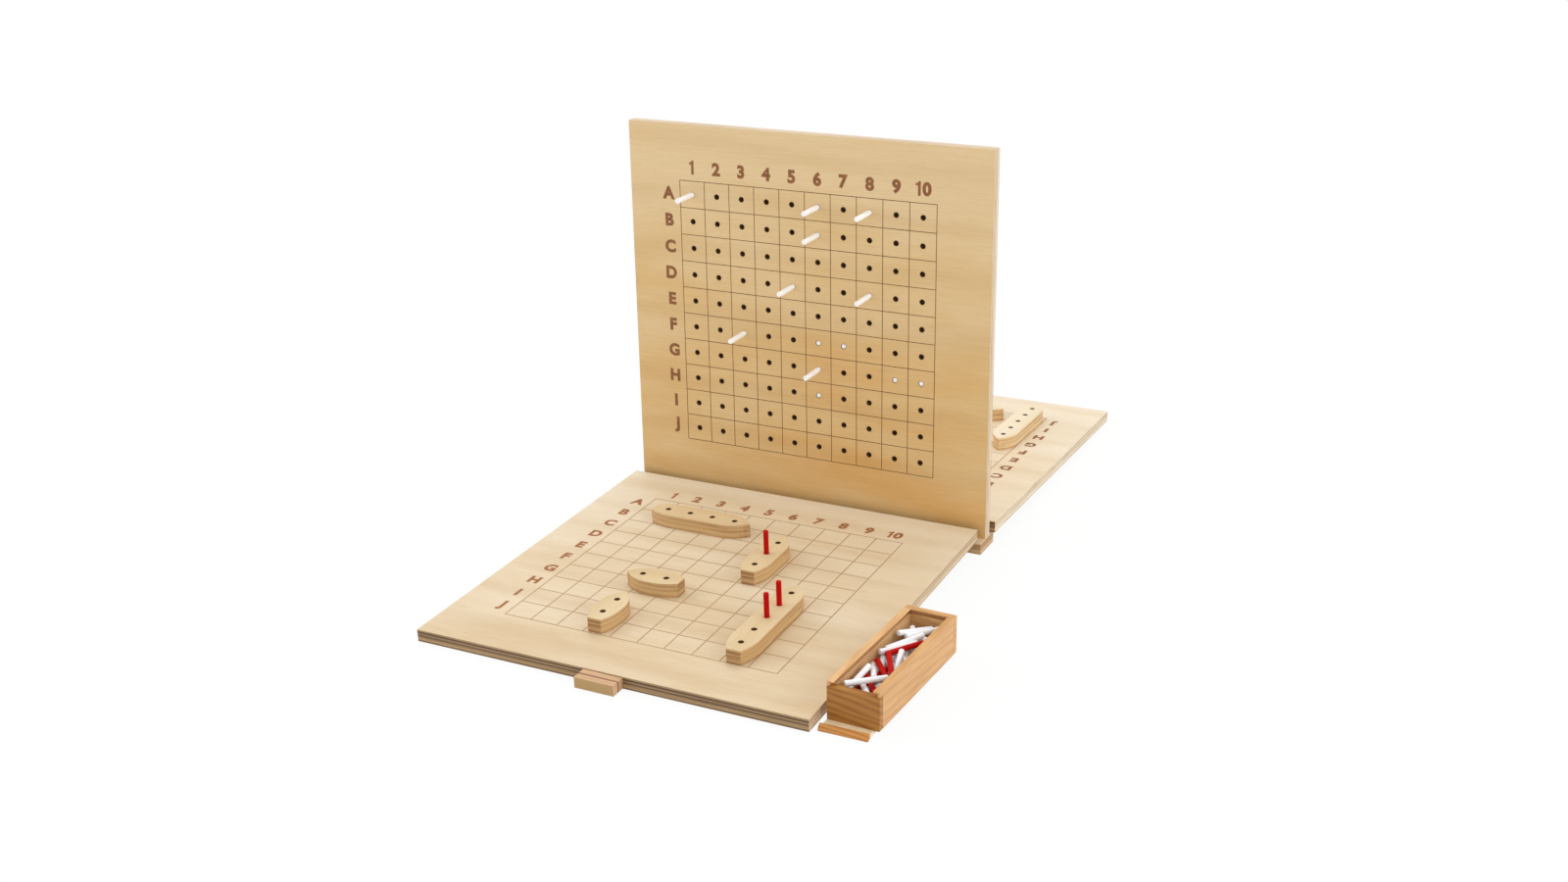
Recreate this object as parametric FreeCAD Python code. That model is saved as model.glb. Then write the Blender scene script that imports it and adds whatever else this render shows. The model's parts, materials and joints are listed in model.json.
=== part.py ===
import FreeCAD, Part
import math
import os
import random

from FreeCAD import Placement, Rotation, Vector

# Fleet guessing set: an upright target board on a base rail, a fleet board on either side of it,
# ten ships, painted pegs, and a peg box that stands on its own sliding lid.
# Millimetres, +Z up. Origin: centre of the base rail's underside. The front player sits at -Y.

# Plywood boards
board_side = 500.0
board_thick = 15.0
cell = 35.5
cells = 10

# Base rail under the target board
rail_ledge = 16.0
rail_height = 15.0

# Where each fleet board lies: how far its near edge laps over the ledge, and its sideways offset
front_lap = 8.0
front_offset = -7.5
rear_lap = 6.0
rear_offset = 4.0
lay_gap = 0.05

# Wood screws that hold the rail to the target board
screw_count = 4
screw_end_margin = 40.0
screw_diameter = 4.0
screw_head_diameter = 8.0
screw_length = 40.0
screw_recess = 0.4
screw_slot = 1.0

# Grip block on the outer edge of each fleet board, and its dowels
block_length = 50.0
block_depth = 20.0
block_height = 13.0
dowel_diameter = 6.0
dowel_length = 30.0
dowel_spacing = 28.0
dowel_in_block = 12.0

# Pegs and the holes that take them
peg_diameter = 6.4
peg_length = 48.0
peg_chamfer = 0.5
peg_play = 0.4
front_peg_depth = 8.0
tip_gap = 0.3

# Ships
ship_thick = 18.0
ship_beam = 35.0
ship_hole_pitch = 32.0
ship_bow_overhang = 19.0
ship_stern_overhang = 20.0
ship_transom = 17.0
ship_bow_tip = 5.0
ship_taper = 33.0
ship_least_run = 2.0

# Peg box with grooves for its sliding lid
box_length = 200.0
box_width = 61.5
box_height = 46.0
box_wall = 8.0
box_bottom_thick = 4.0
box_bottom_raise = 3.0
box_bottom_groove = 3.0
lid_thick = 4.0
lid_lip = 2.0
lid_groove = 5.0
lid_play = 0.3
nosing_depth = 6.0
nosing_height = 7.0
nosing_inset = 2.0
nosing_bevel = 4.0

# Where the box and the lid stand on the table, beside the front fleet board
box_gap = 8.0
box_setback = 25.5
box_turn = -2.3
lid_shift = -3.5
lid_reach = 13.0

# Loose pegs in the box
loose_white = 34
loose_red = 11
pile_seed = 42
pile_gap = 0.15
pile_tries = 140
pile_steps = (4.0, 1.0, 0.2)
pile_steepest_rise = 16.0

# Cutters run past the faces that they open, and lines closer to parallel than this count as parallel
overshoot = 1.0
parallel_limit = 1e-9

# Pegs in play, named by row letter and column number as the front player reads them
front_guesses = ("a1", "a6", "a8", "b6", "d5", "d8", "f3", "g6")
rear_guesses = ("f6", "f7", "g9", "g10", "h6")

# Ships on each board: name, holes, centre from the board's centre, bow angle from the board's +X.
# Seen by its own player, with the target board at +Y.
front_fleet = (
    ("five", 5, 124.0, -94.0, 90.0),
    ("four", 4, -77.0, 120.5, 0.0),
    ("three", 3, 50.0, 53.0, 90.0),
    ("two_a", 2, -46.0, -53.5, 180.0),
    ("two_b", 2, -56.0, -139.5, 90.0),
)
rear_fleet = (
    ("five", 5, -160.0, -96.0, 90.0),
    ("four", 4, 89.0, 53.0, 90.0),
    ("three", 3, -68.0, -142.0, 180.0),
    ("two_a", 2, -35.0, 53.0, 0.0),
    ("two_b", 2, 124.0, -106.0, 90.0),
)

# Red pegs: ship, hole counted from the stern, starting at 0
front_hits = (("three", 1), ("five", 2), ("five", 3))

# Sizes that follow from the ones above
board_half = board_side / 2
rail_depth = board_thick + 2 * rail_ledge
grid_half = cell * cells / 2
grid_centre_z = rail_height + board_half
hole_radius = (peg_diameter + peg_play) / 2
peg_radius = peg_diameter / 2
lid_floor = box_height - lid_lip - lid_thick - lid_play
lid_width = box_width - 2 * box_wall + 2 * lid_groove - 2 * lid_play
lid_length = box_length - box_wall + lid_groove - lid_play
box_front_x = board_half + front_offset + box_gap + box_width / 2
box_front_y = box_setback - rail_depth / 2 - (board_side - front_lap)
lid_front_x = box_front_x + lid_shift
lid_front_y = box_front_y - lid_reach
axis_x = Vector(1, 0, 0)
axis_y = Vector(0, 1, 0)
axis_z = Vector(0, 0, 1)


def block(x0, x1, y0, y1, z0, z1):
    """Rectangular block between two corners."""
    return Part.makeBox(x1 - x0, y1 - y0, z1 - z0, Vector(x0, y0, z0))


def rod(radius, start, direction, length):
    """Plain round rod from a start point."""
    return Part.makeCylinder(radius, length, start, direction)


def placed(shape, placement):
    """Copy of a shape, moved by a placement."""
    copy = shape.copy()
    copy.Placement = placement.multiply(copy.Placement)
    return copy


def save(name, shape):
    """Writes one node."""
    shape.exportStep("parts/" + name + ".step")


def peg():
    """Round peg with chamfered ends, standing on the origin along +Z."""
    inner = peg_radius - peg_chamfer
    top = peg_length - peg_chamfer
    points = [
        Vector(0, 0, 0),
        Vector(inner, 0, 0),
        Vector(peg_radius, 0, peg_chamfer),
        Vector(peg_radius, 0, top),
        Vector(inner, 0, peg_length),
        Vector(0, 0, peg_length),
    ]
    outline = Part.makePolygon(points + points[:1])
    return Part.Face(outline).revolve(Vector(0, 0, 0), axis_z, 360)


def cell_centre(label):
    """X and Z of one hole of the target board, from a row letter and a column number."""
    row = ord(label[0]) - ord("a")
    column = int(label[1:]) - 1
    x = (column + 0.5) * cell - grid_half
    z = grid_centre_z + grid_half - (row + 0.5) * cell
    return x, z


def target_board():
    """Upright board with a hole in the middle of each grid cell."""
    half = board_thick / 2
    board = block(-board_half, board_half, -half, half, rail_height, rail_height + board_side)
    holes = []
    for row in range(cells):
        for column in range(cells):
            x, z = cell_centre(chr(ord("a") + row) + str(column + 1))
            holes.append(rod(hole_radius, Vector(x, -board_thick, z), axis_y, 2 * board_thick))
    return board.cut(Part.makeCompound(holes + screw_shanks()))


def screw_places():
    """X of each screw along the base rail."""
    span = board_side - 2 * screw_end_margin
    return [-span / 2 + span * i / (screw_count - 1) for i in range(screw_count)]


def screw_shanks():
    """Shank of every screw, from its recessed head upward."""
    return [
        rod(screw_diameter / 2, Vector(x, 0, screw_recess), axis_z, screw_length)
        for x in screw_places()
    ]


def screw_heads():
    """Countersunk head of every screw."""
    wide = screw_head_diameter / 2
    narrow = screw_diameter / 2
    return [
        Part.makeCone(wide, narrow, wide - narrow, Vector(x, 0, screw_recess), axis_z)
        for x in screw_places()
    ]


def rail_screws():
    """Slotted countersunk screws, one solid each."""
    solids = []
    for x, shank, head in zip(screw_places(), screw_shanks(), screw_heads()):
        wide = screw_head_diameter / 2
        slot = block(x - wide, x + wide, -screw_slot / 2, screw_slot / 2, 0, screw_recess + screw_slot)
        solids.append(shank.fuse(head).removeSplitter().cut(slot))
    return Part.makeCompound(solids)


def base_rail():
    """Flat rail under the target board, with a countersunk hole for each screw."""
    rail = block(-board_half, board_half, -rail_depth / 2, rail_depth / 2, 0, rail_height)
    mouths = [
        rod(screw_head_diameter / 2, Vector(x, 0, 0), axis_z, screw_recess) for x in screw_places()
    ]
    return rail.cut(Part.makeCompound(screw_shanks() + screw_heads() + mouths))


def lay_tilt(lap):
    """Slope of a fleet board that leans from the ledge to the table."""
    return math.asin(rail_height / (board_side - lap))


def lay_placement(lap, offset, turn):
    """Moves a fleet board from its own frame, centred with its underside at 0, to where it lies."""
    tilt = math.degrees(lay_tilt(lap))
    rotation = Rotation(axis_z, turn).multiply(Rotation(axis_x, tilt))
    ledge_edge = Rotation(axis_z, turn).multVec(Vector(0, -rail_depth / 2, 0))
    contact = Vector(offset, ledge_edge.y, rail_height + lay_gap)
    return Placement(contact - rotation.multVec(Vector(0, board_half - lap, 0)), rotation)


def block_raise(lap):
    """Lifts the grip block, so that its outer edge clears the table on the sloping board."""
    return block_depth * math.tan(lay_tilt(lap)) + lay_gap


def block_dowels(lap):
    """Two dowels across the joint between a fleet board and its grip block."""
    start_y = -board_half - dowel_in_block
    z = block_raise(lap) + block_height / 2
    return [
        rod(dowel_diameter / 2, Vector(x, start_y, z), axis_y, dowel_length)
        for x in (-dowel_spacing / 2, dowel_spacing / 2)
    ]


def fleet_board(lap):
    """Plain board, drilled in its outer edge for the dowels."""
    board = block(-board_half, board_half, -board_half, board_half, 0, board_thick)
    return board.cut(Part.makeCompound(block_dowels(lap)))


def grip_block(lap):
    """Block on the outer edge of a fleet board, drilled for the dowels."""
    low = block_raise(lap)
    half = block_length / 2
    body = block(-half, half, -board_half - block_depth, -board_half, low, low + block_height)
    return body.cut(Part.makeCompound(block_dowels(lap)))


def ship_hole_places(holes):
    """Position of each hole along a ship, from the stern, with the row centred on 0."""
    return [(i - (holes - 1) / 2) * ship_hole_pitch for i in range(holes)]


def taper_bulge(x0, y0, x1, y1, bulge):
    """Point beside the middle of a slanting line, pushed outward to make an arc."""
    length = math.hypot(x1 - x0, y1 - y0)
    side_x = -(y1 - y0) / length
    side_y = (x1 - x0) / length
    sign = 1 if side_y * (y0 + y1) > 0 else -1
    return Vector((x0 + x1) / 2 + sign * bulge * side_x, (y0 + y1) / 2 + sign * bulge * side_y, 0)


def taper_arc(x0, y0, x1, y1):
    """Arc from the narrow end to the full beam, tangent to the straight side."""
    run = abs(x1 - x0)
    rise = abs(y1) - abs(y0)
    chord = math.hypot(run, rise)
    bulge = chord / 2 * math.tan(math.atan2(rise, run) / 2)
    middle = taper_bulge(x0, y0, x1, y1, bulge)
    return Part.Arc(Vector(x0, y0, 0), middle, Vector(x1, y1, 0)).toShape()


def ship(holes):
    """Ship along +X on the plane z = 0: flat transom, swelling sides, blunt bow, a row of holes."""
    places = ship_hole_places(holes)
    stern = places[0] - ship_stern_overhang
    bow = places[-1] + ship_bow_overhang
    wide = ship_beam / 2
    transom = ship_transom / 2
    tip = ship_bow_tip / 2
    taper = min(ship_taper, (bow - stern - ship_least_run) / 2)
    edges = [
        Part.makeLine(Vector(stern, transom, 0), Vector(stern, -transom, 0)),
        taper_arc(stern, -transom, stern + taper, -wide),
        Part.makeLine(Vector(stern + taper, -wide, 0), Vector(bow - taper, -wide, 0)),
        taper_arc(bow, -tip, bow - taper, -wide),
        Part.Arc(Vector(bow, -tip, 0), Vector(bow + tip, 0, 0), Vector(bow, tip, 0)).toShape(),
        taper_arc(bow, tip, bow - taper, wide),
        Part.makeLine(Vector(bow - taper, wide, 0), Vector(stern + taper, wide, 0)),
        taper_arc(stern, transom, stern + taper, wide),
    ]
    outline = Part.Wire(Part.__sortEdges__(edges))
    hull = Part.Face(outline).extrude(Vector(0, 0, ship_thick))
    depth = ship_thick + 2 * overshoot
    bores = [rod(hole_radius, Vector(x, 0, -overshoot), axis_z, depth) for x in places]
    return hull.cut(Part.makeCompound(bores))


def ship_placement(x, y, angle):
    """Place of a ship on the face of a fleet board."""
    return Placement(Vector(x, y, board_thick), Rotation(axis_z, angle))


def lid_slot(width, back_y):
    """Space that the lid takes up in the box, with play above it."""
    top = lid_floor + lid_thick + lid_play
    return block(-width / 2, width / 2, -overshoot, back_y, lid_floor, top)


def box_bottom():
    """Bottom panel, let into grooves round the inside of the box."""
    half = box_width / 2 - box_wall + box_bottom_groove
    low = box_wall - box_bottom_groove
    top = box_bottom_raise + box_bottom_thick
    return block(-half, half, low, box_length - low, box_bottom_raise, top)


def box_cutters():
    """Lid groove and bottom groove, as solids to take out of the walls."""
    slot = lid_slot(box_width - 2 * box_wall + 2 * lid_groove, box_length - box_wall + lid_groove)
    return Part.makeCompound([slot, box_bottom()])


def box_side(sign):
    """Long wall, cut back under its lip at the front so that the front end laps over it."""
    inner = sign * (box_width / 2 - box_wall)
    outer = sign * box_width / 2
    x0, x1 = sorted((inner, outer))
    wall = block(x0, x1, 0, box_length - box_wall, 0, box_height)
    notch = block(x0, x1, 0, box_wall, 0, lid_floor)
    return wall.cut(notch).cut(box_cutters())


def box_front_end():
    """Low front wall across the whole width, under the lid."""
    half = box_width / 2
    return block(-half, half, 0, box_wall, 0, lid_floor).cut(box_cutters())


def box_back_end():
    """Full-height back wall across the whole width."""
    half = box_width / 2
    wall = block(-half, half, box_length - box_wall, box_length, 0, box_height)
    return wall.cut(box_cutters())


def lid_panel():
    """Thin lid, its front edge at y = 0, lying on the table."""
    return block(-lid_width / 2, lid_width / 2, 0, lid_length, 0, lid_thick)


def lid_nosing():
    """Bevelled strip across the front edge of the lid."""
    half = box_width / 2 - nosing_inset
    points = [
        Vector(-half, 0, 0),
        Vector(-half, -nosing_depth, 0),
        Vector(-half, -nosing_depth, nosing_height - nosing_bevel),
        Vector(-half, -nosing_depth + nosing_bevel, nosing_height),
        Vector(-half, 0, nosing_height),
    ]
    return Part.Face(Part.makePolygon(points + points[:1])).extrude(Vector(2 * half, 0, 0))


def segment_gap(p0, p1, q0, q1):
    """Shortest distance between two straight segments."""
    u = p1 - p0
    v = q1 - q0
    w = p0 - q0
    a = u.dot(u)
    b = u.dot(v)
    c = v.dot(v)
    d = u.dot(w)
    e = v.dot(w)
    det = a * c - b * b
    s = min(max((b * e - c * d) / det, 0.0), 1.0) if det > parallel_limit else 0.0
    t = (b * s + e) / c
    if t < 0.0:
        t = 0.0
        s = min(max(-d / a, 0.0), 1.0)
    elif t > 1.0:
        t = 1.0
        s = min(max((b - d) / a, 0.0), 1.0)
    return (w + u * s - v * t).Length


def peg_ends(x, y, heading, low, high):
    """Two ends of a leaning peg over a point, from the heights of its ends."""
    reach = math.sqrt((peg_length / 2) ** 2 - ((high - low) / 2) ** 2)
    dx = reach * math.cos(heading)
    dy = reach * math.sin(heading)
    return Vector(x - dx, y - dy, low), Vector(x + dx, y + dy, high)


def peg_is_free(ends, pile, floor):
    """True where a peg clears the box's bottom, the box's walls and every peg that lies there."""
    half = box_width / 2 - box_wall - peg_radius - pile_gap
    front = box_wall + peg_radius + pile_gap
    back = box_length - box_wall - peg_radius - pile_gap
    for end in ends:
        if end.z < floor or abs(end.x) > half or not front < end.y < back:
            return False
    clear = peg_diameter + pile_gap
    return all(segment_gap(ends[0], ends[1], other[0], other[1]) >= clear for other in pile)


def pegs_near(x, y, pile):
    """Pegs of the pile that a peg centred over a point could touch."""
    reach = peg_length + peg_diameter + pile_gap
    return [(a, b) for a, b in pile if math.hypot((a.x + b.x) / 2 - x, (a.y + b.y) / 2 - y) < reach]


def dropped_peg(x, y, heading, pile):
    """Lowers a level peg over a point, then each of its ends, until nothing can sink further."""
    floor = box_bottom_raise + box_bottom_thick + peg_radius + pile_gap
    near = pegs_near(x, y, pile)
    low = high = max([floor] + [max(a.z, b.z) for a, b in near]) + peg_diameter + pile_gap
    for step in pile_steps:
        sinking = True
        while sinking:
            sinking = False
            for drop_low, drop_high in ((step, step), (step, 0), (0, step)):
                if abs((high - drop_high) - (low - drop_low)) > pile_steepest_rise:
                    continue
                if peg_is_free(peg_ends(x, y, heading, low - drop_low, high - drop_high), near, floor):
                    low -= drop_low
                    high -= drop_high
                    sinking = True
    return peg_ends(x, y, heading, low, high)


def peg_pile(count):
    """Ends of each loose peg, dropped one after another into the box, every one with its own heading."""
    chance = random.Random(pile_seed)
    half = box_width / 2 - box_wall - peg_radius - 2 * pile_gap
    margin = box_wall + peg_radius + 2 * pile_gap
    pile = []
    while len(pile) < count:
        heading = chance.uniform(0, math.pi)
        room_x = half - abs(math.cos(heading)) * peg_length / 2
        reach_y = abs(math.sin(heading)) * peg_length / 2 + margin
        if room_x < 0:
            continue
        best = None
        for attempt in range(pile_tries):
            x = chance.uniform(-room_x, room_x)
            y = chance.uniform(reach_y, box_length - reach_y)
            ends = dropped_peg(x, y, heading, pile)
            if best is None or ends[0].z + ends[1].z < best[0].z + best[1].z:
                best = ends
        pile.append(best)
    return pile


def loose_peg(ends):
    """Peg between two points of the pile."""
    return placed(peg(), Placement(ends[0], Rotation(axis_z, ends[1] - ends[0])))


os.makedirs("parts", exist_ok=True)

# Upright target board on its rail
save("target_board", target_board())
save("base_rail", base_rail())
save("rail_screws", rail_screws())

# Fleet boards, each with its grip block and ships
front_lay = lay_placement(front_lap, front_offset, 0)
rear_lay = lay_placement(rear_lap, rear_offset, 180)
for side, lap, lay, fleet in (
    ("front", front_lap, front_lay, front_fleet),
    ("rear", rear_lap, rear_lay, rear_fleet),
):
    save(side + "_fleet_board", placed(fleet_board(lap), lay))
    save(side + "_grip_block", placed(grip_block(lap), lay))
    save(side + "_block_dowels", placed(Part.makeCompound(block_dowels(lap)), lay))
    for name, holes, x, y, angle in fleet:
        place = lay.multiply(ship_placement(x, y, angle))
        save(side + "_ship_" + name, placed(ship(holes), place))

# White pegs in the target board
front_face = -board_thick / 2
for label in front_guesses:
    x, z = cell_centre(label)
    place = Placement(Vector(x, front_face + front_peg_depth, z), Rotation(axis_x, 90))
    save("white_peg_front_" + label, placed(peg(), place))
for label in rear_guesses:
    x, z = cell_centre(label)
    place = Placement(Vector(x, front_face + tip_gap, z), Rotation(axis_x, -90))
    save("white_peg_rear_" + label, placed(peg(), place))

# Red pegs in the front player's ships
for name, holes, x, y, angle in front_fleet:
    for hit_ship, hole in front_hits:
        if hit_ship == name:
            spot = Placement(Vector(ship_hole_places(holes)[hole], 0, tip_gap), Rotation())
            place = front_lay.multiply(ship_placement(x, y, angle)).multiply(spot)
            save("red_peg_" + name + "_" + str(hole + 1), placed(peg(), place))

# Peg box on its lid
box_place = Placement(Vector(box_front_x, box_front_y, lid_thick), Rotation(axis_z, box_turn))
save("box_left_side", placed(box_side(-1), box_place))
save("box_right_side", placed(box_side(1), box_place))
save("box_front_end", placed(box_front_end(), box_place))
save("box_back_end", placed(box_back_end(), box_place))
save("box_bottom", placed(box_bottom(), box_place))
lid_place = Placement(Vector(lid_front_x, lid_front_y, 0), Rotation())
save("lid_panel", placed(lid_panel(), lid_place))
save("lid_nosing", placed(lid_nosing(), lid_place))

# Loose pegs, the red ones spread through the pile
pile = [placed(loose_peg(ends), box_place) for ends in peg_pile(loose_white + loose_red)]
red_step = (loose_white + loose_red) / loose_red
red_turns = {round((i + 1) * red_step) - 1 for i in range(loose_red)}
save("loose_white_pegs", Part.makeCompound([p for i, p in enumerate(pile) if i not in red_turns]))
save("loose_red_pegs", Part.makeCompound([p for i, p in enumerate(pile) if i in red_turns]))
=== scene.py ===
import json
import math
from collections import namedtuple

import bmesh
import bpy
from mathutils import Matrix, Vector


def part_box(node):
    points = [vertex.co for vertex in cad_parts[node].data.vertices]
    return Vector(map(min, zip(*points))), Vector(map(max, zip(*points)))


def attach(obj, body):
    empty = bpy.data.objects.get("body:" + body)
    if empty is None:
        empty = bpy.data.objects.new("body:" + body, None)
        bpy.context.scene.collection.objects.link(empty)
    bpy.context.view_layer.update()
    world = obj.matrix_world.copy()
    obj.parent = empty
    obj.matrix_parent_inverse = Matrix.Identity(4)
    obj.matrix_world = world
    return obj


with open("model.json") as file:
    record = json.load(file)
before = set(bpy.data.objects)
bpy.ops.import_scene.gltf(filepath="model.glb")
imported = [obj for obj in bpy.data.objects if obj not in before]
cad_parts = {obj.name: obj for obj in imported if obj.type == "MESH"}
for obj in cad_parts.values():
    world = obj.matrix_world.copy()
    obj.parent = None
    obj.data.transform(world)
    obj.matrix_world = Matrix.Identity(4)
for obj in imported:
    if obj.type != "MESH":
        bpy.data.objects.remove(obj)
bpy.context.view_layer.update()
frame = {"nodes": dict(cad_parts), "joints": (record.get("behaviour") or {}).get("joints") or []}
nodes = frame["nodes"]
joint_axes = {joint["name"]: Vector(joint["axis"]) for joint in frame["joints"]}

plus_x = Vector((1, 0, 0))
plus_y = Vector((0, 1, 0))
plus_z = Vector((0, 0, 1))
white = (1.0, 1.0, 1.0)

# Sizes in metres, the same as the model's
cell = 0.0355
cells = 10
grid_half = cell * cells / 2
board_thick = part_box("target_board")[1].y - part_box("target_board")[0].y
peg_hole_radius = 0.0034
ship_thick = 0.018
ship_hole_pitch = 0.032
ship_holes = {"five": 5, "four": 4, "three": 3, "two_a": 2, "two_b": 2}
ship_bow_reach = 0.0215
ship_stern_reach = 0.020
box_wall = 0.008

# Edges eased by sanding
target_ease = 0.0003
board_ease = 0.0005
block_ease = 0.0006
box_ease = 0.0007
ease_steps = 2
ease_angle = math.radians(40)
weld_reach = 0.00001

# Burnt marks on the boards, which rise a little above the face and reach below it
target_line = 0.0009
fleet_line = 0.0014
mark_rise = 0.00004
mark_sink = 0.00030
label_height = 0.0182
label_weight = 0.00115
label_curve_steps = 6
label_weld = 1e-7
sign_gap = 0.0022
number_offset = 0.0178
letter_offset = 0.0170
# Height of a capital in a font of size 1
font_cap_share = 0.73
# Corners of the figure 1, in shares of a label's height
one_outline = (
    (0.20, 0.0), (0.40, 0.0), (0.40, 1.0), (0.26, 1.0),
    (0.20, 0.89), (0.04, 0.84), (0.04, 0.70), (0.20, 0.70),
)
burn_roughness = 0.75
burn_tones = {
    "dark_line": ((0.190, 0.076, 0.021), (0.110, 0.041, 0.011)),
    "pale_line": ((0.455, 0.295, 0.160), (0.350, 0.212, 0.104)),
    "dark_label": ((0.300, 0.114, 0.038), (0.190, 0.068, 0.020)),
    "pale_label": ((0.390, 0.160, 0.054), (0.265, 0.100, 0.031)),
}

# Holes in plywood: a grid or a row, darkened on their walls and on a thin rim around them, partly by scorch
# and partly by painted shade inside the holes
Holes = namedtuple("Holes", "pitch count rows")
scorch_and_hole_shade = (0.125, 0.060, 0.018)
scorch_roughness = 0.92
scorch_and_shade_full = 0.0001
scorch_and_shade_end = 0.0005

# Tones of the plywood, from pale to dark, on faces and on edges
# The target's warmest tone is partly its own, and partly painted warm bounce light and shade that gather it
# at the bottom
target_tone = ((0.76, 0.58, 0.335), (0.72, 0.51, 0.248), (0.69, 0.42, 0.158))
front_tone = ((0.80, 0.70, 0.54), (0.735, 0.605, 0.42), (0.665, 0.51, 0.312))
# Painted light: the rear board's tones are paler than the front board's, standing in for the light that
# falls on it from behind
rear_tone = ((0.86, 0.76, 0.60), (0.82, 0.70, 0.52), (0.77, 0.63, 0.43))
front_ship_tone = ((0.765, 0.625, 0.405), (0.715, 0.56, 0.335), (0.66, 0.485, 0.27))
# Painted light: the rear ships are paler than the front ones, for the same light from behind
rear_ship_tone = ((0.88, 0.78, 0.60), (0.84, 0.73, 0.53), (0.79, 0.66, 0.45))
# Grip block faces: partly their own pinkish tone, partly painted shade, darker for the face turned to the
# front
block_tone = ((0.545, 0.37, 0.178), (0.485, 0.315, 0.138), (0.425, 0.262, 0.102))
target_edge = ((0.78, 0.68, 0.53), (0.70, 0.56, 0.39), (0.52, 0.38, 0.24))
board_edge = ((0.53, 0.35, 0.165), (0.295, 0.175, 0.076), (0.09, 0.047, 0.02))
# Painted shade: the front board's end beside the box is darker, standing in for the box's shade on it
front_end = ((0.73, 0.58, 0.375), (0.63, 0.47, 0.285), (0.42, 0.285, 0.158))
# Painted light: the rear board's ends are paler, for the same light from behind
rear_end = ((0.86, 0.75, 0.58), (0.79, 0.66, 0.47), (0.57, 0.44, 0.28))
rail_edge = ((0.67, 0.46, 0.25), (0.56, 0.35, 0.165), (0.34, 0.18, 0.075))
ship_side = ((0.69, 0.475, 0.24), (0.63, 0.415, 0.195), (0.53, 0.325, 0.14))
# Painted shade: the front ships' ends are darker than their sides, standing in for shade on faces turned
# from the lamps
ship_end = ((0.62, 0.41, 0.195), (0.51, 0.305, 0.128), (0.33, 0.17, 0.064))
# Painted light: the rear ships' edges are paler, for the same light from behind
rear_ship_side = ((0.85, 0.66, 0.40), (0.79, 0.57, 0.31), (0.66, 0.43, 0.20))
block_edge = ((0.70, 0.47, 0.28), (0.60, 0.36, 0.19), (0.28, 0.12, 0.055))

# Plywood: tones of its face, long edges and ends, shades of its plies, painted light (how fast its face
# grows paler across it, standing in for light and shade falling across the piece), and its gloss
Plywood = namedtuple("Plywood", "face edge end shades drift shine")
ply_shades = (0.70, 0.15, 0.35, 0.80, 0.45, 0.90, 0.30)
block_shades = (0.15, 0.25, 0.10, 0.90, 0.30, 0.10, 0.20)
ply_wander = 0.0006
ply_roughness = 0.52
wood_shine = 0.3
flat_shine = 0.5
# Painted light and shade: the target face grows darker and warmer towards its bottom, standing in for shade
# and warm bounce light there; both fleet boards grow paler towards the back, where the light falls from
target_painted_shade_drift = 0.9
fleet_painted_light_drift = 0.45
target_wood = Plywood(target_tone, target_edge, target_edge, ply_shades, target_painted_shade_drift, wood_shine)
rail_wood = Plywood(front_tone, rail_edge, rail_edge, ply_shades, 0.0, wood_shine)
block_wood = Plywood(block_tone, block_edge, block_edge, block_shades, 0.0, wood_shine)
board_woods = {
    "front": Plywood(front_tone, board_edge, front_end, ply_shades, fleet_painted_light_drift, flat_shine),
    "rear": Plywood(rear_tone, board_edge, rear_end, ply_shades, -fleet_painted_light_drift, flat_shine),
}
ship_woods = {
    "front": Plywood(front_ship_tone, ship_side, ship_end, ply_shades, 0.0, flat_shine),
    "rear": Plywood(rear_ship_tone, rear_ship_side, rear_ship_side, ply_shades, 0.0, flat_shine),
}

# Solid wood: its tones, the width of a growth ring, and its roughness
Timber = namedtuple("Timber", "pale dark ring roughness")
left_timber = Timber((0.82, 0.53, 0.275), (0.75, 0.455, 0.215), 0.011, 0.45)
right_timber = Timber((0.71, 0.415, 0.182), (0.645, 0.362, 0.147), 0.011, 0.45)
# The box's front end: partly its own darker tone, partly painted shade on the face turned from the lamps
front_end_timber = Timber((0.46, 0.212, 0.046), (0.335, 0.135, 0.024), 0.008, 0.45)
back_end_timber = Timber(right_timber.pale, right_timber.dark, 0.008, 0.45)
bottom_timber = Timber((0.70, 0.46, 0.26), (0.60, 0.36, 0.18), 0.012, 0.55)
# Painted light: the lid panel is paler than its own wood, standing in for light on the strip beside the box
lid_timber = Timber((0.96, 0.83, 0.59), (0.92, 0.76, 0.50), 0.012, 0.5)
nosing_timber = Timber((0.68, 0.32, 0.085), (0.50, 0.20, 0.045), 0.006, 0.4)
dowel_timber = Timber((0.60, 0.44, 0.26), (0.50, 0.34, 0.18), 0.003, 0.6)

# Layer of tone over a wood: its noise, stretched along, across and through the piece, the tint of its
# darkest places, the noise values at which it is darkest and gone, and its strength
Layer = namedtuple("Layer", "stretch detail roughness tint darkest gone strength")
ply_streaks = Layer((22.0, 700.0, 60.0), 5.0, 0.65, (0.84, 0.78, 0.70), 0.30, 0.60, 0.42)
ply_flecks = Layer((90.0, 2600.0, 90.0), 2.0, 0.5, (0.70, 0.60, 0.48), 0.25, 0.42, 0.32)
edge_grain = Layer((14.0, 14.0, 1.1), 3.0, 0.6, (0.52, 0.43, 0.34), 0.30, 0.56, 0.6)
timber_clouds = Layer((9.0, 40.0, 40.0), 3.0, 0.55, (0.82, 0.76, 0.68), 0.30, 0.62, 0.6)
timber_streaks = Layer((18.0, 420.0, 420.0), 4.0, 0.6, (0.74, 0.66, 0.56), 0.32, 0.60, 0.5)

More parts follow.
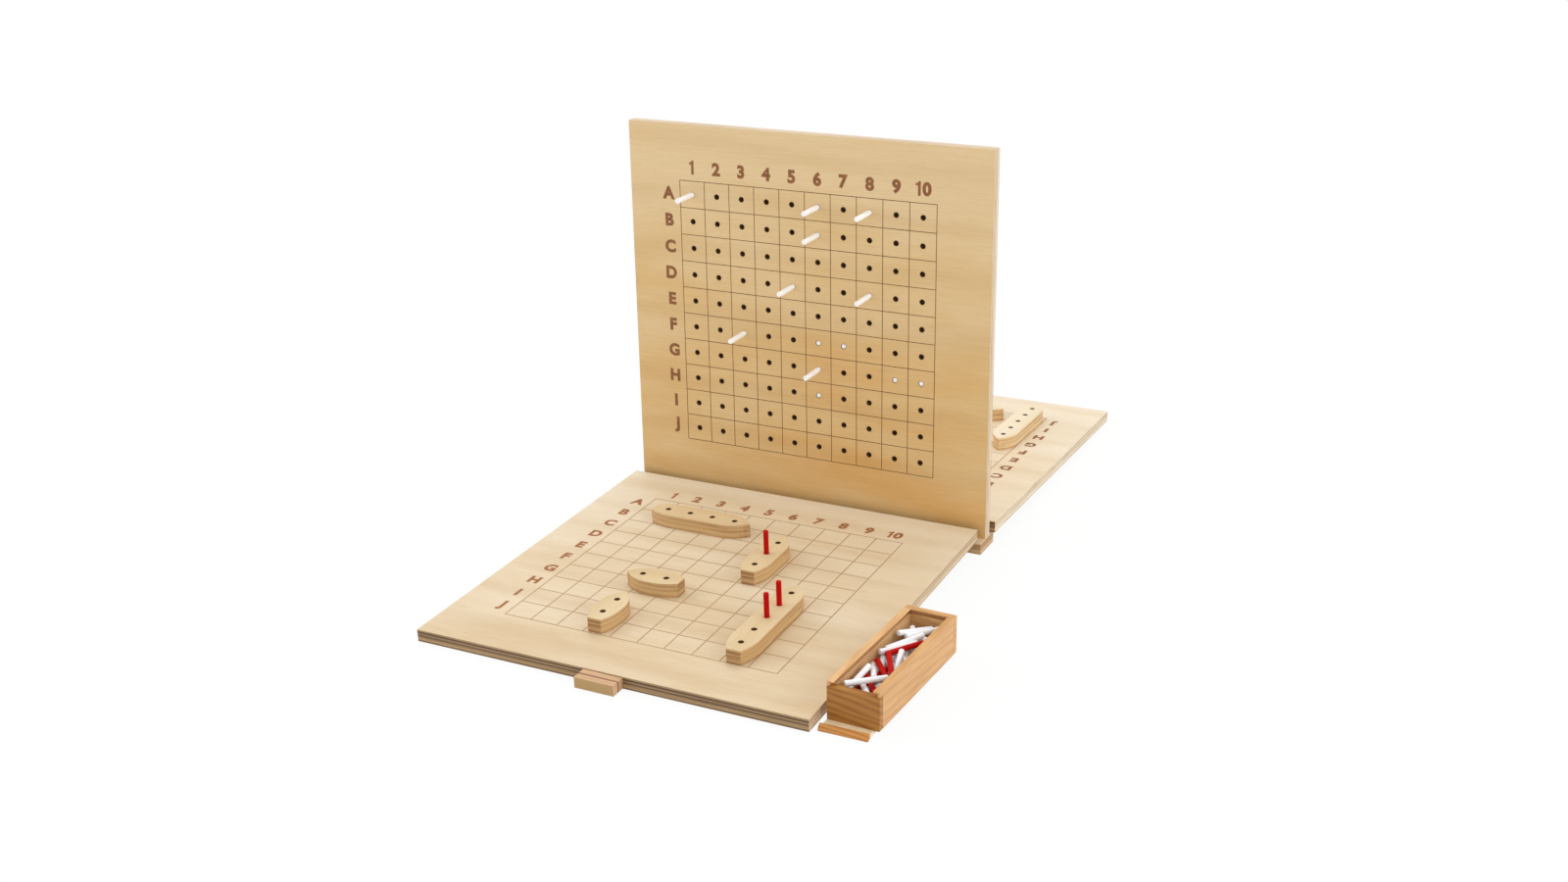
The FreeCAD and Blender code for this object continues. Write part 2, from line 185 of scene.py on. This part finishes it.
# Figure on the faces of plywood, glue lines on its edges, and growth rings in solid wood
figure_stretch = (1.4, 5.0, 2.0)
figure_dark = (0.86, 0.80, 0.72)
figure_pale = (0.97, 0.96, 0.94)
figure_strength = 0.34
face_begins = 0.55
face_full = 0.75
glue_begins = 0.36
glue_full = 0.49
glue_strength = 0.40
ring_stretch = (0.12, 0.7, 1.0)
# Length of one ring before the pattern is stretched
wave_length = math.pi / 5

# Shifts along the grain that give each wooden piece its own pattern
target_seed = 0.0
rail_seed = 3.1
board_seeds = {"front": 5.3, "rear": 8.9}
block_seed_step = 1.0
ship_seed_step = 0.7
box_seeds = {
    "box_left_side": 1.7,
    "box_right_side": 4.2,
    "box_front_end": 0.4,
    "box_back_end": 2.4,
    "box_bottom": 6.6,
    "lid_panel": 9.3,
    "lid_nosing": 3.8,
}

# Satin paint on the pegs, and the zinc plating of the screws
Paint = namedtuple("Paint", "colour worn shine")
peg_paints = {
    "white": Paint((0.95, 0.97, 1.0), (0.91, 0.925, 0.95), 0.2),
    "red": Paint((0.51, 0.002, 0.001), (0.40, 0.002, 0.001), 0.1),
}
paint_roughness = 0.35
scuff_roughness = 0.25
scuff_strength = 0.4
zinc_dark = (0.52, 0.52, 0.50)
zinc_pale = (0.68, 0.68, 0.66)
zinc_roughness = 0.38

# White floor: it keeps a shadow near the object and fades out further off
floor_colour = (0.93, 0.93, 0.93, 1.0)
floor_roughness = 0.9
floor_reach = 6.0
floor_level = -0.0004
floor_white = 0.92
floor_near = 0.8
floor_far = 2.4

# Light of the room, and square lamps with their width in metres and power in watts
room_colour = (1.0, 0.985, 0.96, 1.0)
room_strength = 0.55
Lamp = namedtuple("Lamp", "name place aim width power colour")
lamps = (
    Lamp("top", (-0.3, 0.7, 2.5), (0.0, 0.05, 0.0), 2.4, 29.5, (1.0, 0.99, 0.975)),
    Lamp("right", (2.3, -0.5, 1.1), (0.0, -0.1, 0.2), 1.8, 24.0, (1.0, 0.99, 0.975)),
    Lamp("left", (-2.3, -0.8, 1.3), (0.0, -0.1, 0.2), 1.8, 26.0, (1.0, 0.99, 0.98)),
    Lamp("front", (0.5, -2.7, 1.5), (0.0, -0.1, 0.2), 2.0, 6.0, (1.0, 0.99, 0.98)),
)

# Camera of the photograph
photo_width = 1600
photo_focal = 1840.6
sensor_width = 36.0
camera_far = 30.0
camera_place = Vector((0.956, -2.0011, 0.9512))
camera_forward = Vector((-0.41558, 0.83732, -0.35524))
camera_up = Vector((-0.14410, 0.32502, 0.93466))


class Graph:
    """Node tree of a material or of the world, with short calls for the nodes used here."""

    def __init__(self, owner, shader="Principled BSDF"):
        owner.use_nodes = True
        self.owner = owner
        self.tree = owner.node_tree
        self.shader = self.tree.nodes[shader]

    def add(self, kind, **inputs):
        node = self.tree.nodes.new(kind)
        for key, value in inputs.items():
            self.set(node.inputs[key.replace("_", " ")], value)
        return node

    def set(self, socket, value):
        if isinstance(value, bpy.types.NodeSocket):
            self.tree.links.new(value, socket)
        else:
            socket.default_value = value

    def math(self, operation, a, b=0.0, c=0.0):
        node = self.add("ShaderNodeMath")
        node.operation = operation
        for socket, value in zip(node.inputs, (a, b, c)):
            self.set(socket, value)
        return node.outputs[0]

    def vector_math(self, operation, a, b=(0.0, 0.0, 0.0)):
        node = self.add("ShaderNodeVectorMath")
        node.operation = operation
        self.set(node.inputs[0], a)
        self.set(node.inputs[1], b)
        return node.outputs["Value"]

    def point(self):
        return self.add("ShaderNodeTexCoord").outputs["Object"]

    def vector(self, x, y, z):
        return self.add("ShaderNodeCombineXYZ", X=x, Y=y, Z=z).outputs[0]

    def stretch(self, vector, scale):
        return self.add("ShaderNodeMapping", Vector=vector, Scale=scale).outputs[0]

    def noise(self, vector, scale, detail=3.0, roughness=0.55):
        node = self.add("ShaderNodeTexNoise", Vector=vector, Scale=scale, Detail=detail,
                        Roughness=roughness)
        return node.outputs["Fac"]

    def bands(self, vector, direction, scale, distortion, detail_scale):
        node = self.add("ShaderNodeTexWave", Vector=vector, Scale=scale, Distortion=distortion, Detail=2.5,
                        Detail_Scale=detail_scale, Detail_Roughness=0.5)
        node.wave_type = "BANDS"
        node.bands_direction = direction
        return node.outputs["Fac"]

    def ramp(self, factor, *stops):
        node = self.add("ShaderNodeValToRGB", Fac=factor)
        points = node.color_ramp.elements
        while len(points) < len(stops):
            points.new(0.5)
        for point, (place, colour) in zip(points, stops):
            point.position = place
            point.color = (*colour, 1.0)
        return node.outputs["Color"]

    def steps(self, factor, shades):
        stops = [(i / len(shades), (shade, shade, shade)) for i, shade in enumerate(shades)]
        shown = self.ramp(factor, *stops)
        shown.node.color_ramp.interpolation = "CONSTANT"
        return shown

    def mix(self, factor, a, b, blend="MIX"):
        node = self.add("ShaderNodeMix")
        node.data_type = "RGBA"
        node.blend_type = blend
        self.set(node.inputs["Factor"], factor)
        self.set(node.inputs[6], a if isinstance(a, bpy.types.NodeSocket) else (*a, 1.0))
        self.set(node.inputs[7], b if isinstance(b, bpy.types.NodeSocket) else (*b, 1.0))
        return node.outputs[2]

    def layer(self, colour, vector, layer):
        """Lays one layer of tone over a colour, and gives its noise as well."""
        noise = self.noise(self.stretch(vector, layer.stretch), 1.0, layer.detail, layer.roughness)
        tint = self.ramp(noise, (layer.darkest, layer.tint), (layer.gone, white))
        return self.mix(layer.strength, colour, tint, "MULTIPLY"), noise

    def step(self, value, low, high):
        node = self.add("ShaderNodeMapRange", Value=value, From_Min=low, From_Max=high)
        node.interpolation_type = "SMOOTHSTEP"
        return node.outputs[0]

    def bump(self, height, strength, distance):
        node = self.add("ShaderNodeBump", Height=height, Strength=strength, Distance=distance)
        self.set(self.shader.inputs["Normal"], node.outputs["Normal"])

    def paint(self, colour, roughness, shine=flat_shine):
        self.set(self.shader.inputs["Base Color"], colour)
        self.set(self.shader.inputs["Roughness"], roughness)
        self.set(self.shader.inputs["Specular IOR Level"], shine)


# Place of a surface point on a wooden piece, and how far the surface faces through the piece or along it
Place = namedtuple("Place", "along across through facing ending")


class LocalFrame:
    """Directions of a wooden piece: along its grain, across it, and through its thickness."""

    def __init__(self, origin, along, across, through):
        self.origin = Vector(origin)
        self.along = Vector(along)
        self.across = Vector(across)
        self.through = Vector(through)

    def coordinates(self, graph):
        """Place of each surface point, with distances from the origin."""
        known = graph.add("ShaderNodeTexCoord").outputs
        distances = []
        for direction in (self.along, self.across, self.through):
            reach = graph.vector_math("DOT_PRODUCT", known["Object"], direction)
            distances.append(graph.math("SUBTRACT", reach, direction.dot(self.origin)))
        facing = graph.math("ABSOLUTE", graph.vector_math("DOT_PRODUCT", known["Normal"], self.through))
        ending = graph.math("ABSOLUTE", graph.vector_math("DOT_PRODUCT", known["Normal"], self.along))
        return Place(*distances, facing, ending)


def board_frame(node, right, up):
    """Local frame of a flat board, from its box and two of its directions."""
    low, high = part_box(node)
    return LocalFrame((low + high) / 2, right, up, right.cross(up))


# Directions of the boards: the fleet boards slope, and their ships lift off square to them
front_up = joint_axes["front_ship_five_lift"]
rear_up = joint_axes["rear_ship_five_lift"]
target_local = board_frame("target_board", plus_x, plus_z)
target_rear_local = board_frame("target_board", -plus_x, plus_z)
front_local = board_frame("front_fleet_board", plus_x, front_up.cross(plus_x))
rear_local = board_frame("rear_fleet_board", -plus_x, rear_up.cross(-plus_x))
rail_local = board_frame("base_rail", plus_x, plus_y)


def ship_frame(ship, up):
    """Local frame of a ship, with its origin at the middle of its row of holes."""
    low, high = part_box(ship)
    centre = (low + high) / 2
    along = plus_x if high.x - low.x > high.y - low.y else up.cross(plus_x)
    across = up.cross(along)
    widths = {}
    for vertex in nodes[ship].data.vertices:
        reach = along.dot(vertex.co - centre)
        widths[reach] = max(widths.get(reach, 0.0), abs(across.dot(vertex.co - centre)))
    bow_sign = 1 if widths[max(widths)] < widths[min(widths)] else -1
    middle = centre - along * bow_sign * (ship_bow_reach - ship_stern_reach) / 2
    return LocalFrame(middle, along, across, up)


def ply_colour(graph, place, wood, thick, seed):
    """Birch plywood: rotary-cut figure on the faces, stacked plies on the edges."""
    point = graph.vector(graph.math("ADD", place.along, seed), place.across, place.through)
    wide = graph.stretch(point, figure_stretch)
    cloud = graph.noise(wide, scale=2.2, detail=4.0, roughness=0.6)
    # Painted light and shade: the face grows paler or darker across the piece, on top of its random clouds
    tone_and_painted_light = graph.math("MULTIPLY_ADD", place.across, -wood.drift, cloud)
    pale, middle, warm = wood.face
    face = graph.ramp(tone_and_painted_light, (0.28, pale), (0.52, middle), (0.76, warm))
    figure = graph.bands(wide, "Y", scale=0.85, distortion=7.0, detail_scale=0.8)
    figured = graph.ramp(figure, (0.0, figure_dark), (0.30, figure_pale), (0.60, white))
    face = graph.mix(figure_strength, face, figured, "MULTIPLY")
    face, streak = graph.layer(face, point, ply_streaks)
    face, fleck = graph.layer(face, point, ply_flecks)
    graph.bump(graph.math("ADD", streak, fleck), strength=0.08, distance=0.0003)
    sides = edge_plies(graph, place, wood, thick, seed)
    return graph.mix(graph.step(place.facing, face_begins, face_full), sides, face)


def edge_plies(graph, place, wood, thick, seed):
    """Edge of plywood: plies of uneven tone with glue lines between them, streaked along their length."""
    shifted = graph.vector(graph.math("ADD", place.along, seed), place.across, 0.0)
    wander = graph.noise(shifted, scale=9.0, detail=2.0)
    depth = graph.math("MULTIPLY_ADD", wander, ply_wander, place.through)
    count = len(wood.shades)
    ply = graph.math("MULTIPLY", graph.math("ADD", depth, (thick - ply_wander) / 2), count / thick)
    shade = graph.steps(graph.math("DIVIDE", ply, count), wood.shades)
    from_middle = graph.math("ABSOLUTE", graph.math("SUBTRACT", graph.math("FRACT", ply), 0.5))
    glue = graph.math("MULTIPLY", graph.step(from_middle, glue_begins, glue_full), glue_strength)
    stacks = []
    for pale, brown, dark in (wood.edge, wood.end):
        plies = graph.ramp(shade, (0.10, pale), (0.55, brown), (0.95, dark))
        stacks.append(graph.mix(glue, plies, dark))
    colour = graph.mix(graph.step(place.ending, face_begins, face_full), *stacks)
    return graph.layer(colour, graph.vector(place.along, place.across, ply), edge_grain)[0]


def from_nearest(graph, distance, pitch, count):
    """Distance to the nearest of a row of holes, and 1 within the row's length."""
    shift = 0.5 if count % 2 == 1 else 0.0
    turn = graph.math("ADD", graph.math("DIVIDE", distance, pitch), shift)
    near = graph.math("MULTIPLY", graph.math("SUBTRACT", graph.math("FRACT", turn), 0.5), pitch)
    within = graph.math("LESS_THAN", graph.math("ABSOLUTE", distance), pitch * count / 2)
    return near, within


def hole_mask(graph, place, holes):
    """1 at the holes and on the dark rim around them, 0 elsewhere; the darkening is partly scorch and
    partly painted shade of the holes.
    """
    near_along, within = from_nearest(graph, place.along, holes.pitch, holes.count)
    near_across, within_rows = from_nearest(graph, place.across, holes.pitch, holes.rows)
    squares = graph.math("ADD", graph.math("POWER", near_along, 2.0), graph.math("POWER", near_across, 2.0))
    reach = graph.math("SQRT", squares)
    inside = graph.step(reach, peg_hole_radius + scorch_and_shade_end, peg_hole_radius + scorch_and_shade_full)
    return graph.math("MULTIPLY", inside, graph.math("MULTIPLY", within, within_rows))


def ply_material(name, local, wood, thick, seed, holes=None):
    """Plywood, with darkened holes where it is drilled: partly scorch, partly painted shade inside the
    holes.
    """
    graph = Graph(bpy.data.materials.new(name))
    place = local.coordinates(graph)
    colour = ply_colour(graph, place, wood, thick, seed)
    roughness = ply_roughness
    if holes:
        # Painted shade: hole walls and rims darkened, partly scorch and partly the shade inside the holes
        scorch_and_shade_mask = hole_mask(graph, place, holes)
        colour = graph.mix(scorch_and_shade_mask, colour, scorch_and_hole_shade)
        roughness = graph.math("MULTIPLY_ADD", scorch_and_shade_mask, scorch_roughness - ply_roughness, ply_roughness)
    graph.paint(colour, roughness, wood.shine)
    return graph.owner


def wood_material(name, local, timber, seed):
    """Solid wood: wavy growth rings drawn out along the grain, with clouds and fine streaks."""
    graph = Graph(bpy.data.materials.new(name))
    place = local.coordinates(graph)
    point = graph.vector(graph.math("ADD", place.along, seed), place.across, place.through)
    drawn = graph.stretch(point, [share * wave_length / timber.ring for share in ring_stretch])
    rings = graph.bands(drawn, "DIAGONAL", scale=1.0, distortion=4.5, detail_scale=1.2)
    middle = [(pale * 2 + dark) / 3 for pale, dark in zip(timber.pale, timber.dark)]
    colour = graph.ramp(rings, (0.05, timber.dark), (0.35, middle), (0.85, timber.pale))
    colour = graph.layer(colour, point, timber_clouds)[0]
    colour, streak = graph.layer(colour, point, timber_streaks)
    graph.bump(streak, strength=0.15, distance=0.0004)
    graph.paint(colour, timber.roughness, wood_shine)
    return graph.owner


def paint_material(name, paint):
    """Satin paint on a turned peg, with faint clouds and scuffs."""
    graph = Graph(bpy.data.materials.new(name))
    point = graph.point()
    cloud = graph.noise(point, scale=60.0, detail=2.0)
    scuff = graph.noise(point, scale=420.0, detail=4.0, roughness=0.6)
    clouded = graph.ramp(cloud, (0.30, paint.worn), (0.60, paint.colour))
    scuffed = graph.ramp(scuff, (0.26, paint.worn), (0.40, paint.colour))
    roughness = graph.math("MULTIPLY_ADD", scuff, scuff_roughness, paint_roughness)
    graph.paint(graph.mix(scuff_strength, clouded, scuffed), roughness, paint.shine)
    graph.bump(scuff, strength=0.06, distance=0.0003)
    return graph.owner


def steel_material(name):
    """Zinc-plated screw."""
    graph = Graph(bpy.data.materials.new(name))
    cloud = graph.noise(graph.point(), scale=300.0, detail=3.0)
    graph.paint(graph.ramp(cloud, (0.3, zinc_dark), (0.7, zinc_pale)), zinc_roughness)
    graph.shader.inputs["Metallic"].default_value = 1.0
    return graph.owner


def burn_material(name, pale, dark):
    """Burnt mark, darker in some places than in others."""
    graph = Graph(bpy.data.materials.new(name))
    cloud = graph.noise(graph.point(), scale=160.0, detail=4.0, roughness=0.6)
    graph.paint(graph.ramp(cloud, (0.32, dark), (0.66, pale)), burn_roughness)
    return graph.owner


def put(node, material):
    """Gives a node one material."""
    nodes[node].data.materials.clear()
    nodes[node].data.materials.append(material)


def soften(node, width):
    """Rounds the sharp edges of a node a little, as sanding does."""
    weld = nodes[node].modifiers.new("weld", "WELD")
    weld.merge_threshold = weld_reach
    bevel = nodes[node].modifiers.new("ease", "BEVEL")
    bevel.width = width
    bevel.segments = ease_steps
    bevel.limit_method = "ANGLE"
    bevel.angle_limit = ease_angle
    bevel.harden_normals = True


def finish_stand():
    """Target board, its rail, and the screws between them."""
    put("target_board", ply_material("target_ply", target_local, target_wood, board_thick, target_seed,
                                     Holes(cell, cells, cells)))
    put("base_rail", ply_material("rail_ply", rail_local, rail_wood, board_thick, rail_seed))
    put("rail_screws", steel_material("screw_steel"))
    soften("target_board", target_ease)
    soften("base_rail", board_ease)


def finish_fleet(side, board_local, up):
    """Fleet board of one side, its grip block with the dowels, and its ships."""
    seed = board_seeds[side]
    board = side + "_fleet_board"
    put(board, ply_material(side + "_board_ply", board_local, board_woods[side], board_thick, seed))
    soften(board, board_ease)
    block = side + "_grip_block"
    low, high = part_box(block)
    block_local = LocalFrame((low + high) / 2, plus_x, up, up.cross(plus_x))
    block_seed = seed + block_seed_step
    put(block, ply_material(side + "_block_ply", block_local, block_wood, high.y - low.y, block_seed))
    soften(block, block_ease)
    put(side + "_block_dowels", wood_material(side + "_dowel_wood", block_local, dowel_timber, seed))
    for index, (name, count) in enumerate(ship_holes.items()):
        ship = side + "_ship_" + name
        ship_seed = seed + ship_seed_step * index
        put(ship, ply_material(ship + "_ply", ship_frame(ship, up), ship_woods[side], ship_thick, ship_seed,
                               Holes(ship_hole_pitch, count, 1)))
        soften(ship, board_ease)


def finish_pegs(colour, paint):
    """Pegs of one colour, in the holes and loose in the box."""
    material = paint_material(colour + "_paint", paint)
    for node in nodes:
        if node.startswith(colour + "_peg") or node == "loose_" + colour + "_pegs":
            put(node, material)


def finish_box():
    """Peg box, which stands at a slight turn, and the lid under it."""
    low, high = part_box("box_bottom")
    centre = (low + high) / 2
    side_low, side_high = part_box("box_right_side")
    turn = math.atan2(side_high.x - side_low.x - box_wall, side_high.y - side_low.y)
    along = Vector((math.sin(turn), math.cos(turn), 0))
    across = Vector((math.cos(turn), -math.sin(turn), 0))
    side_local = LocalFrame(centre, along, across, plus_z)
    end_local = LocalFrame(centre, across, along, plus_z)
    lid_local = board_frame("lid_panel", plus_y, -plus_x)
    nosing_local = LocalFrame(lid_local.origin, plus_x, plus_y, plus_z)
    for node, name, local, timber in (
        ("box_left_side", "box_left_wood", side_local, left_timber),
        ("box_right_side", "box_right_wood", side_local, right_timber),
        ("box_front_end", "box_front_wood", end_local, front_end_timber),
        ("box_back_end", "box_back_wood", end_local, back_end_timber),
        ("box_bottom", "box_bottom_wood", side_local, bottom_timber),
        ("lid_panel", "lid_pale_wood", lid_local, lid_timber),
        ("lid_nosing", "nosing_wood", nosing_local, nosing_timber),
    ):
        put(node, wood_material(name, local, timber, box_seeds[node]))
        if node != "box_bottom":
            soften(node, box_ease)


def raise_mark(shape, name):
    """Gives thickness to flat faces that lie below a board's face, and makes them a mesh."""
    grown = bmesh.ops.extrude_face_region(shape, geom=list(shape.faces), use_keep_orig=True)
    for item in grown["geom"]:
        if isinstance(item, bmesh.types.BMVert):
            item.co.z = mark_rise
    bmesh.ops.recalc_face_normals(shape, faces=list(shape.faces))
    mesh = bpy.data.meshes.new(name)
    shape.to_mesh(mesh)
    shape.free()
    return mesh


def grid_mesh(name, line_width):
    """Grid of thin closed bars about the origin, in one skin."""
    edges = []
    for i in range(cells + 1):
        middle = -grid_half + i * cell
        edges += [middle - line_width / 2, middle + line_width / 2]
    shape = bmesh.new()
    rows = [[shape.verts.new((x, y, -mark_sink)) for y in edges] for x in edges]
    for i, (row, next_row) in enumerate(zip(rows, rows[1:])):
        for j in range(len(edges) - 1):
            if i % 2 == 0 or j % 2 == 0:
                shape.faces.new((row[j], next_row[j], next_row[j + 1], row[j + 1]))
    return raise_mark(shape, name)


def one_mesh():
    """Figure 1 with a flag, as a thin closed shape."""
    shape = bmesh.new()
    corners = [(label_height * x, label_height * y, -mark_sink) for x, y in one_outline]
    shape.faces.new([shape.verts.new(corner) for corner in corners])
    return raise_mark(shape, "one")


def font_mesh(sign):
    """One other letter or figure, as a thin closed shape."""
    curve = bpy.data.curves.new("label", "FONT")
    curve.body = sign
    curve.size = (label_height - 2 * label_weight) / font_cap_share
    curve.offset = label_weight
    curve.extrude = (mark_rise + mark_sink) / 2
    curve.resolution_u = label_curve_steps
    holder = bpy.data.objects.new("label", curve)
    bpy.context.scene.collection.objects.link(holder)
    bpy.context.view_layer.update()
    mesh = bpy.data.meshes.new_from_object(holder.evaluated_get(bpy.context.evaluated_depsgraph_get()))
    mesh.transform(Matrix.Translation((0, 0, (mark_rise - mark_sink) / 2)))
    bpy.data.objects.remove(holder)
    return mesh


def span(mesh, axis):
    """Lowest and highest place of a mesh along one axis."""
    places = [v.co[axis] for v in mesh.vertices]
    return min(places), max(places)


def label_meshes(text, x, y):
    """Signs of one label, side by side and centred on a point."""
    meshes = [one_mesh() if sign == "1" else font_mesh(sign) for sign in text]
    widths = [span(mesh, 0)[1] - span(mesh, 0)[0] for mesh in meshes]
    left = x - (sum(widths) + sign_gap * (len(text) - 1)) / 2
    for mesh, width in zip(meshes, widths):
        low, high = span(mesh, 1)
        mesh.transform(Matrix.Translation((left - span(mesh, 0)[0], y - (low + high) / 2, 0)))
        left += width + sign_gap
    return meshes


def labels_mesh(name):
    """Numbers over the grid and letters beside it, in one mesh."""
    shape = bmesh.new()
    for i in range(cells):
        middle = -grid_half + (i + 0.5) * cell
        number = label_meshes(str(i + 1), middle, grid_half + number_offset)
        letter = label_meshes(chr(ord("A") + i), -grid_half - letter_offset, -middle)
        for mesh in number + letter:
            shape.from_mesh(mesh)
    bmesh.ops.remove_doubles(shape, verts=list(shape.verts), dist=label_weld)
    mesh = bpy.data.meshes.new(name)
    shape.to_mesh(mesh)
    shape.free()
    return mesh


def mark_board(name, local, body, line_width, line_burn, label_burn):
    """Burns the grid and its labels into one face of a board."""
    place = Matrix((local.along, local.across, local.through)).transposed().to_4x4()
    place.translation = local.origin + local.through * board_thick / 2
    grid = grid_mesh(name + "_grid", line_width)
    labels = labels_mesh(name + "_labels")
    for mesh, material in ((grid, line_burn), (labels, label_burn)):
        mesh.materials.clear()
        mesh.materials.append(material)
        mesh.transform(place)
        piece = bpy.data.objects.new(mesh.name, mesh)
        bpy.context.scene.collection.objects.link(piece)
        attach(piece, body)


def mark_boards():
    """Marks on both faces of the target board and on top of the fleet boards."""
    burns = {name: burn_material(name + "_burn", *tones) for name, tones in burn_tones.items()}
    for name, local in (("target_front", target_local), ("target_rear", target_rear_local)):
        mark_board(name, local, "stand", target_line, burns["dark_line"], burns["dark_label"])
    mark_board("front_fleet", front_local, "front_board", fleet_line,
               burns["pale_line"], burns["pale_label"])
    mark_board("rear_fleet", rear_local, "rear_board", fleet_line,
               burns["pale_line"], burns["dark_label"])


def white_to_camera(graph, light, output, share):
    """Shows a share of white to the camera and in reflections, and lights the object as before."""
    rays = graph.add("ShaderNodeLightPath").outputs
    mirrored = graph.math("MAXIMUM", rays["Is Glossy Ray"], rays["Is Transmission Ray"])
    seen = graph.math("MAXIMUM", rays["Is Camera Ray"], mirrored)
    glow = graph.add(light, Color=(*white, 1.0), Strength=1.0)
    blend = graph.add("ShaderNodeMixShader", Fac=graph.math("MULTIPLY", seen, share))
    graph.set(blend.inputs[1], graph.shader.outputs[0])
    graph.set(blend.inputs[2], glow.outputs[0])
    graph.set(graph.tree.nodes[output].inputs["Surface"], blend.outputs[0])


def make_world():
    """Even white room light."""
    world = bpy.data.worlds.new("studio")
    bpy.context.scene.world = world
    graph = Graph(world, "Background")
    graph.shader.inputs["Color"].default_value = room_colour
    graph.shader.inputs["Strength"].default_value = room_strength
    white_to_camera(graph, "ShaderNodeBackground", "World Output", 1.0)


def make_floor():
    """Pale floor that keeps a faint shadow."""
    graph = Graph(bpy.data.materials.new("pale_floor"))
    graph.paint(floor_colour, floor_roughness)
    fade = graph.step(graph.vector_math("LENGTH", graph.point()), floor_near, floor_far)
    share = graph.math("MULTIPLY_ADD", fade, 1.0 - floor_white, floor_white)
    white_to_camera(graph, "ShaderNodeEmission", "Material Output", share)
    mesh = bpy.data.meshes.new("floor")
    signs = ((-1, -1), (1, -1), (1, 1), (-1, 1))
    corners = [(floor_reach * x, floor_reach * y, floor_level) for x, y in signs]
    mesh.from_pydata(corners, [], [(0, 1, 2, 3)])
    mesh.materials.append(graph.owner)
    floor = bpy.data.objects.new("floor", mesh)
    bpy.context.scene.collection.objects.link(floor)


def make_lamp(lamp):
    """Square soft lamp aimed at a point."""
    light = bpy.data.lights.new(lamp.name, "AREA")
    light.size = lamp.width
    light.energy = lamp.power
    light.color = lamp.colour
    holder = bpy.data.objects.new(lamp.name, light)
    bpy.context.scene.collection.objects.link(holder)
    holder.location = lamp.place
    holder.rotation_euler = (Vector(lamp.aim) - Vector(lamp.place)).to_track_quat("-Z", "Y").to_euler()


def make_camera():
    """Camera at the photograph's place, with its field of view."""
    camera = bpy.data.cameras.new("photo_camera")
    camera.sensor_width = sensor_width
    camera.lens = photo_focal * sensor_width / photo_width
    camera.clip_end = camera_far
    holder = bpy.data.objects.new("photo_camera", camera)
    bpy.context.scene.collection.objects.link(holder)
    forward = camera_forward.normalized()
    right = forward.cross(camera_up).normalized()
    up = right.cross(forward)
    turn = Matrix((right, up, -forward)).transposed().to_4x4()
    holder.matrix_world = Matrix.Translation(camera_place) @ turn
    bpy.context.scene.camera = holder


finish_stand()
finish_fleet("front", front_local, front_up)
finish_fleet("rear", rear_local, rear_up)
for peg_colour, peg_paint in peg_paints.items():
    finish_pegs(peg_colour, peg_paint)
finish_box()
mark_boards()

make_world()
make_floor()
for studio_lamp in lamps:
    make_lamp(studio_lamp)
make_camera()
bpy.context.scene.view_settings.view_transform = "Standard"
